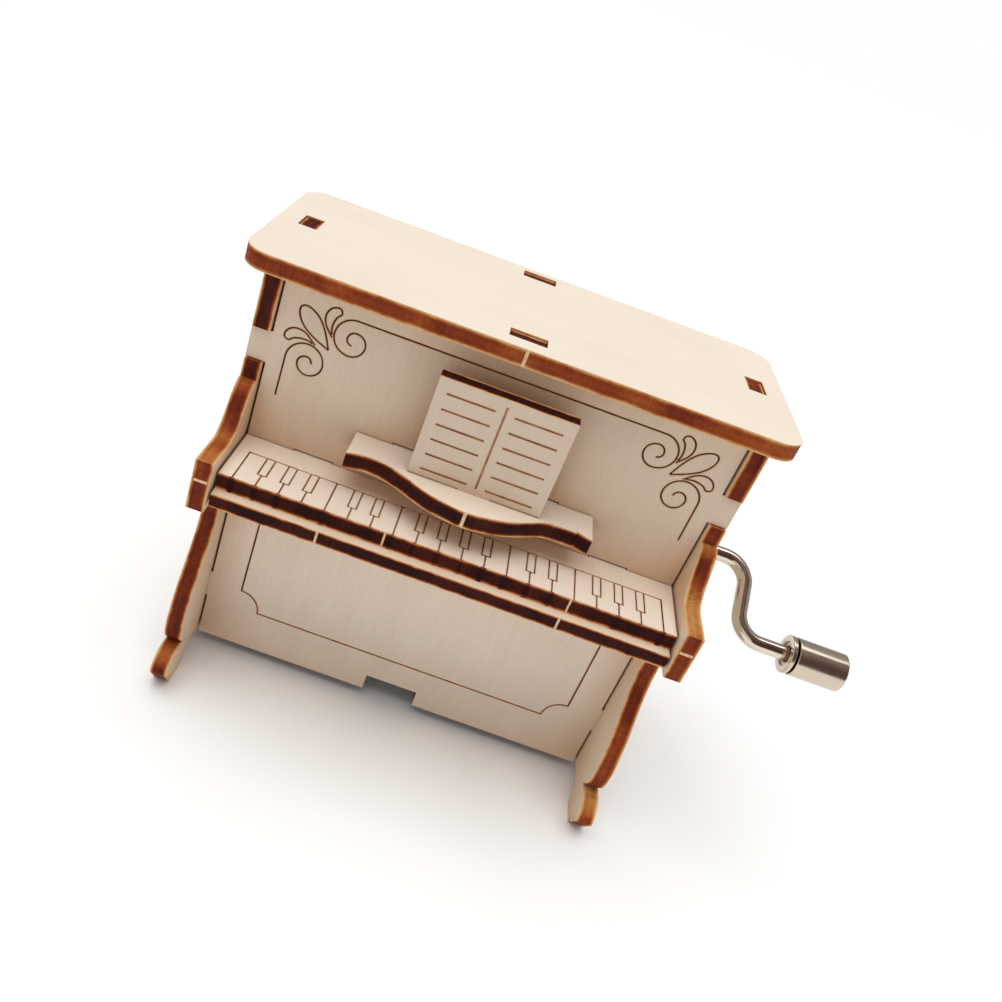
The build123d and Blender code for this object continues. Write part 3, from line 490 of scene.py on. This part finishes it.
# ---- mesh pieces ----
SAME_POINT = 0.001 * MM


def add_piece(name, shape, material, body, bevel=0.0):
    """Turn a bmesh into a smooth piece that rides on a body."""
    mesh = bpy.data.meshes.new(name)
    bmesh.ops.remove_doubles(shape, verts=shape.verts, dist=SAME_POINT)
    bmesh.ops.recalc_face_normals(shape, faces=shape.faces)
    shape.to_mesh(mesh)
    shape.free()
    for face in mesh.polygons:
        face.use_smooth = True
    mesh.set_sharp_from_angle(angle=SHARP_ANGLE)
    piece = bpy.data.objects.new(name, mesh)
    bpy.context.scene.collection.objects.link(piece)
    set_material(piece, material)
    if bevel:
        edge = piece.modifiers.new("edge", "BEVEL")
        edge.width = bevel
        edge.segments = 3
        edge.limit_method = "ANGLE"
        edge.angle_limit = SHARP_ANGLE
        edge.harden_normals = True
    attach(piece, body)
    return piece


def join_rings(shape, rings):
    """Skin a row of rings of points; a ring of one point closes an end."""
    made = [[shape.verts.new(point) for point in ring] for ring in rings]
    for first, second in zip(made, made[1:]):
        count = max(len(first), len(second))
        for index in range(count):
            following = (index + 1) % count
            corners = [
                first[index % len(first)], first[following % len(first)],
                second[following % len(second)], second[index % len(second)],
            ]
            unique = list(dict.fromkeys(corners))
            shape.faces.new(unique)


def turned(shape, profile, centre, sides=96):
    """Turn a profile of (x, radius) points round a line along X."""
    rings = []
    for x, radius in profile:
        steps = sides if radius > 0 else 1
        ring = []
        for step in range(steps):
            angle = 2 * math.pi * step / steps
            ring.append((x, centre[Y] + radius * math.cos(angle), centre[Z] + radius * math.sin(angle)))
        rings.append(ring)
    join_rings(shape, rings)


def round_rod(shape, path, radius, across, sides=40):
    """Sweep a circle along a path that lies in the plane square to across."""
    rings = [[path[0]]]
    for index, point in enumerate(path):
        ahead = (path[min(index + 1, len(path) - 1)] - path[max(index - 1, 0)]).normalized()
        second = ahead.cross(across)
        angles = [2 * math.pi * step / sides for step in range(sides)]
        rings.append([point + radius * (math.cos(a) * across + math.sin(a) * second) for a in angles])
    rings.append([path[-1]])
    join_rings(shape, rings)


def bent_path(corners, bend, steps=20):
    """Points along straight runs with round corners of one radius."""
    path = [corners[0]]
    for before, corner, after in zip(corners, corners[1:], corners[2:]):
        arriving = (corner - before).normalized()
        leaving = (after - corner).normalized()
        half = arriving.angle(leaving) / 2
        start = corner - arriving * bend * math.tan(half)
        inward = (leaving - arriving).normalized()
        centre = corner + inward * bend / math.cos(half)
        spoke = start - centre
        for step in range(steps + 1):
            turn = 2 * half * step / steps
            path.append(centre + spoke * math.cos(turn) + arriving * bend * math.sin(turn))
    path.append(corners[-1])
    return path


# ---- crank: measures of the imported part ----
WIRE_R = 1.5 * MM
SOCKET_R = 1.0 * MM        # of the thin end that the worm sits on
WIRE_BEND = 4.8 * MM
ARM_X = 57.9 * MM
BORE_R = 1.55 * MM
CAVITY_R = 2.8 * MM
FLANGE = 0.9 * MM
RECESS_R = 2.4 * MM
RECESS = 0.4 * MM
END_WALL = 1.0 * MM
KNOB_EDGE = 0.3 * MM


def add_crank():
    """The bent wire and the two turned pieces of its knob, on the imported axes."""
    wire_steel = metal("bright_nickel", NICKEL, rough=0.12, wear=0.10)
    knob_steel = metal("turned_nickel", TURNED_NICKEL, rough=0.22, wear=0.14, turned_about=X, shade_recesses=True)
    places = {joint["name"]: Vector(joint["pos_m"]) for joint in frame["record"]["behaviour"]["joints"]}
    crank, knob = places["crank_spin"], places["knob_spin"]
    low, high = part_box("crank_wire")
    worm_end_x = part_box("worm")[1][X]
    corners = [
        Vector((worm_end_x, crank.y, crank.z)), Vector((ARM_X, crank.y, crank.z)),
        Vector((ARM_X, knob.y, knob.z)), Vector((high[X], knob.y, knob.z)),
    ]
    across = (corners[2] - corners[1]).cross(Vector((1, 0, 0))).normalized()
    wire = bmesh.new()
    round_rod(wire, bent_path(corners, WIRE_BEND), WIRE_R, across)
    round_rod(wire, [Vector((low[X], crank.y, crank.z)), corners[0]], SOCKET_R, across)
    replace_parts(add_piece("bent_wire", wire, wire_steel, "crank"), "crank_wire")

    low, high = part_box("knob_bush")
    radius = (high[Z] - low[Z]) / 2
    flange_end = low[X] + FLANGE
    bush = bmesh.new()
    turned(bush, [
        (low[X] + RECESS, BORE_R), (low[X] + RECESS, RECESS_R), (low[X], RECESS_R), (low[X], radius),
        (flange_end, radius), (flange_end, CAVITY_R), (high[X], CAVITY_R), (high[X], BORE_R),
        (low[X] + RECESS, BORE_R),
    ], knob)
    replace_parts(add_piece("turned_bush", bush, knob_steel, "knob", KNOB_EDGE), "knob_bush")

    low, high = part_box("crank_knob")
    inside_x = high[X] - END_WALL
    shell = bmesh.new()
    turned(shell, [
        (inside_x, 0.0), (inside_x, CAVITY_R), (low[X], CAVITY_R), (low[X], radius), (high[X], radius),
        (high[X], 0.0),
    ], knob)
    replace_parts(add_piece("turned_knob", shell, knob_steel, "knob", KNOB_EDGE), "crank_knob")


# ---- nibs ----
NIB_PROUD = 0.06 * MM
NIB_FLUSH = 0.01 * MM      # the key blocks' nibs hardly stand proud
NIB_SUNK = 0.3 * MM
NIB_EDGE = 0.04 * MM
NIB_TAPER = 0.12           # share of the width that each side loses towards the front
FRONT_NIBS = [
    # node, middle of the nib along X and its width, in millimetres
    ("lid", 0.3, 0.7),
    ("music_desk", 0.0, 0.7),
    ("keyboard_plate", -10.8, 0.45),
    ("keyboard_plate", 20.8, 0.45),
    ("key_bed", -21.0, 0.5),
    ("key_bed", 20.0, 0.5),
]
BLOCK_NIB_Z = (47.0, 47.5)
BROKEN_PALE = linear(236, 208, 170)
BROKEN_DARK = linear(196, 142, 88)
SPLINTERS = {"scale": 2.0, "detail": 4.0, "roughness": 0.6}
SPLINTER_STRETCH = 4.0
SPLINTER_SPAN = (0.35, 0.7)
SPLINTER_BUMP = 0.6
BROKEN_ROUGH = 0.7
BROKEN_SHINE = 0.2


def nib(name, low, high, material):
    """A broken-off bridge of unburnt wood: a low pad with a narrower, worn front."""
    shape = bmesh.new()
    rings = []
    for y, shrink in ((high[Y], 0.0), (low[Y], NIB_TAPER)):
        x_in = (high[X] - low[X]) * shrink
        rings.append([
            (low[X] + x_in, y, low[Z]), (high[X] - x_in, y, low[Z]),
            (high[X] - x_in, y, high[Z]), (low[X] + x_in, y, high[Z]),
        ])
    centre = [sum(values) / 2 for values in zip(low, high)]
    rings.insert(0, [(centre[X], high[Y], centre[Z])])
    rings.append([(centre[X], low[Y], centre[Z])])
    join_rings(shape, rings)
    add_piece(name, shape, material, "case", NIB_EDGE)


def nib_wood():
    """Pale broken birch."""
    graph = Graph("broken_birch")
    _, axes = graph.millimetres()
    splinter_place = graph.vector(axes[X], axes[Y], graph.times(axes[Z], SPLINTER_STRETCH))
    splinters = graph.noise(splinter_place, **SPLINTERS)
    colour = graph.blend(graph.span(splinters, *SPLINTER_SPAN), BROKEN_PALE, BROKEN_DARK)
    relief = graph.bump(splinters, SPLINTER_BUMP, VENEER_BUMP * MM)
    return graph.surface({
        "Base Color": colour, "Roughness": BROKEN_ROUGH, "Normal": relief, "Specular IOR Level": BROKEN_SHINE,
    })


def add_nibs():
    """Pale nibs where the sheets were broken out of their frame."""
    material = nib_wood()
    for index, (node, middle, width) in enumerate(FRONT_NIBS):
        low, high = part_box(node)
        front = low[Y]
        nib_low = ((middle - width / 2) * MM, front - NIB_PROUD, low[Z] + NIB_EDGE)
        nib_high = ((middle + width / 2) * MM, front + NIB_SUNK, high[Z] - NIB_EDGE)
        nib(f"nib_{index}_{node}", nib_low, nib_high, material)
    for node in ("left_side", "right_side"):
        low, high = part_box(node)
        nib_low = (low[X] + NIB_EDGE, low[Y] - NIB_FLUSH, BLOCK_NIB_Z[0] * MM)
        nib_high = (high[X] - NIB_EDGE, low[Y] + NIB_SUNK, BLOCK_NIB_Z[1] * MM)
        nib("nib_" + node, nib_low, nib_high, material)


# ---- studio ----
CAMERA_PLACE = (-9.68, -151.46, 132.69)    # millimetres
CAMERA_RIGHT = (0.94011, 0.13981, 0.31088)
CAMERA_UP = (-0.33955, 0.46409, 0.81812)
LENS = 34.02
SENSOR = 36
SHIFT = (0.0541, -0.0336)
CLIP = (0.005, 20)
FLOOR_RADIUS = 8.0
FLOOR_COLOUR = (0.93, 0.93, 0.93, 1.0)
FLOOR_ROUGH = 0.9
BACKDROP = (1.0, 1.0, 1.0, 1.0)
ROOM = (1.0, 0.985, 0.97, 1.0)
ROOM_STRENGTH = 0.34
SUNS = [
    # name, the direction it stands in, strength, how wide it looks in degrees
    ("overhead", (-0.10, -0.02, 1.0), 2.55, 70),
    ("front_fill", (-0.1, -1.0, 0.25), 0.32, 60),
]


def add_camera():
    """The camera stands in front and above, turned about its own axis."""
    data = bpy.data.cameras.new("camera")
    data.lens = LENS
    data.sensor_width = SENSOR
    data.shift_x, data.shift_y = SHIFT
    data.clip_start, data.clip_end = CLIP
    camera = bpy.data.objects.new("camera", data)
    right = Vector(CAMERA_RIGHT)
    up = Vector(CAMERA_UP)
    turn = Matrix((right, up, right.cross(up))).transposed().to_4x4()
    camera.matrix_world = Matrix.Translation(Vector(CAMERA_PLACE) * MM) @ turn
    bpy.context.scene.collection.objects.link(camera)
    bpy.context.scene.camera = camera


def add_stage(name, shape, colour, rough):
    """A mesh that belongs to the studio and not to the object."""
    mesh = bpy.data.meshes.new(name)
    shape.to_mesh(mesh)
    shape.free()
    mesh.materials.append(Graph(name).surface({"Base Color": colour, "Roughness": rough}))
    item = bpy.data.objects.new(name, mesh)
    bpy.context.scene.collection.objects.link(item)
    return item


def add_floor():
    shape = bmesh.new()
    bmesh.ops.create_circle(shape, cap_ends=True, segments=96, radius=FLOOR_RADIUS)
    add_stage("floor", shape, FLOOR_COLOUR, FLOOR_ROUGH)


def add_sun(name, place, strength, angle):
    """A soft light from the direction of place; only its direction counts."""
    data = bpy.data.lights.new(name, "SUN")
    data.energy = strength
    data.angle = math.radians(angle)
    light = bpy.data.objects.new(name, data)
    light.location = place
    light.rotation_mode = "QUATERNION"
    light.rotation_quaternion = (-Vector(place)).to_track_quat("-Z", "Y")
    bpy.context.scene.collection.objects.link(light)


def light_studio():
    """A bright soft sky overhead and a weaker white room; the backdrop shows plain white."""
    world = bpy.data.worlds.new("studio")
    world.use_nodes = True
    bpy.context.scene.world = world
    tree = world.node_tree
    tree.nodes.clear()
    seen = tree.nodes.new("ShaderNodeBackground")
    seen.inputs["Color"].default_value = BACKDROP
    room = tree.nodes.new("ShaderNodeBackground")
    room.inputs["Color"].default_value = ROOM
    room.inputs["Strength"].default_value = ROOM_STRENGTH
    path = tree.nodes.new("ShaderNodeLightPath")
    choose = tree.nodes.new("ShaderNodeMixShader")
    output = tree.nodes.new("ShaderNodeOutputWorld")
    tree.links.new(path.outputs["Is Camera Ray"], choose.inputs[0])
    tree.links.new(room.outputs[0], choose.inputs[1])
    tree.links.new(seen.outputs[0], choose.inputs[2])
    tree.links.new(choose.outputs[0], output.inputs["Surface"])
    for sun in SUNS:
        add_sun(*sun)


# The card hangs in front as a narrow strip on the right and grows wide overhead. Angles are
# in degrees.
CARD_COLOUR = (0.08, 0.032, 0.026, 1.0)
CARD_DISTANCE = 1.5
CARD_RISE = (-4, 95)       # from just below level in front to just past overhead
CARD_LOW_TURN = 20         # to the right
CARD_HIGH_TURN = 1
CARD_LOW_HALF_WIDTH = 20
CARD_HIGH_HALF_WIDTH = 40
CARD_SWING = (0.35, 0.80)  # share of the rise over which it turns and widens
CARD_STEPS = 36


def card_row(share):
    """Points across the card, at a share of its way up."""
    rise = math.radians(CARD_RISE[0] + (CARD_RISE[1] - CARD_RISE[0]) * share)
    swing = min(1.0, max(0.0, (share - CARD_SWING[0]) / (CARD_SWING[1] - CARD_SWING[0])))
    middle = CARD_LOW_TURN + (CARD_HIGH_TURN - CARD_LOW_TURN) * swing
    half_width = CARD_LOW_HALF_WIDTH + (CARD_HIGH_HALF_WIDTH - CARD_LOW_HALF_WIDTH) * swing
    row = []
    for column in range(CARD_STEPS + 1):
        turn = math.radians(middle + half_width * (2 * column / CARD_STEPS - 1))
        forward = -math.cos(turn) * math.cos(rise)
        row.append(Vector((math.sin(turn), forward, math.cos(turn) * math.sin(rise))) * CARD_DISTANCE)
    return row


def add_dark_card():
    """A dark curved card that only mirrors see: it draws the dark line along bright metal."""
    shape = bmesh.new()
    rows = []
    for step in range(CARD_STEPS + 1):
        rows.append([shape.verts.new(point) for point in card_row(step / CARD_STEPS)])
    for lower, upper in zip(rows, rows[1:]):
        for index in range(CARD_STEPS):
            shape.faces.new([lower[index], lower[index + 1], upper[index + 1], upper[index]])
    card = add_stage("dark_card", shape, CARD_COLOUR, 1.0)
    card.visible_camera = False
    card.visible_diffuse = False
    card.visible_shadow = False
    card.visible_transmission = False


bpy.context.scene.view_settings.view_transform = "Standard"
add_camera()
add_floor()
light_studio()
add_dark_card()
paint_nodes()
add_crank()
add_nibs()
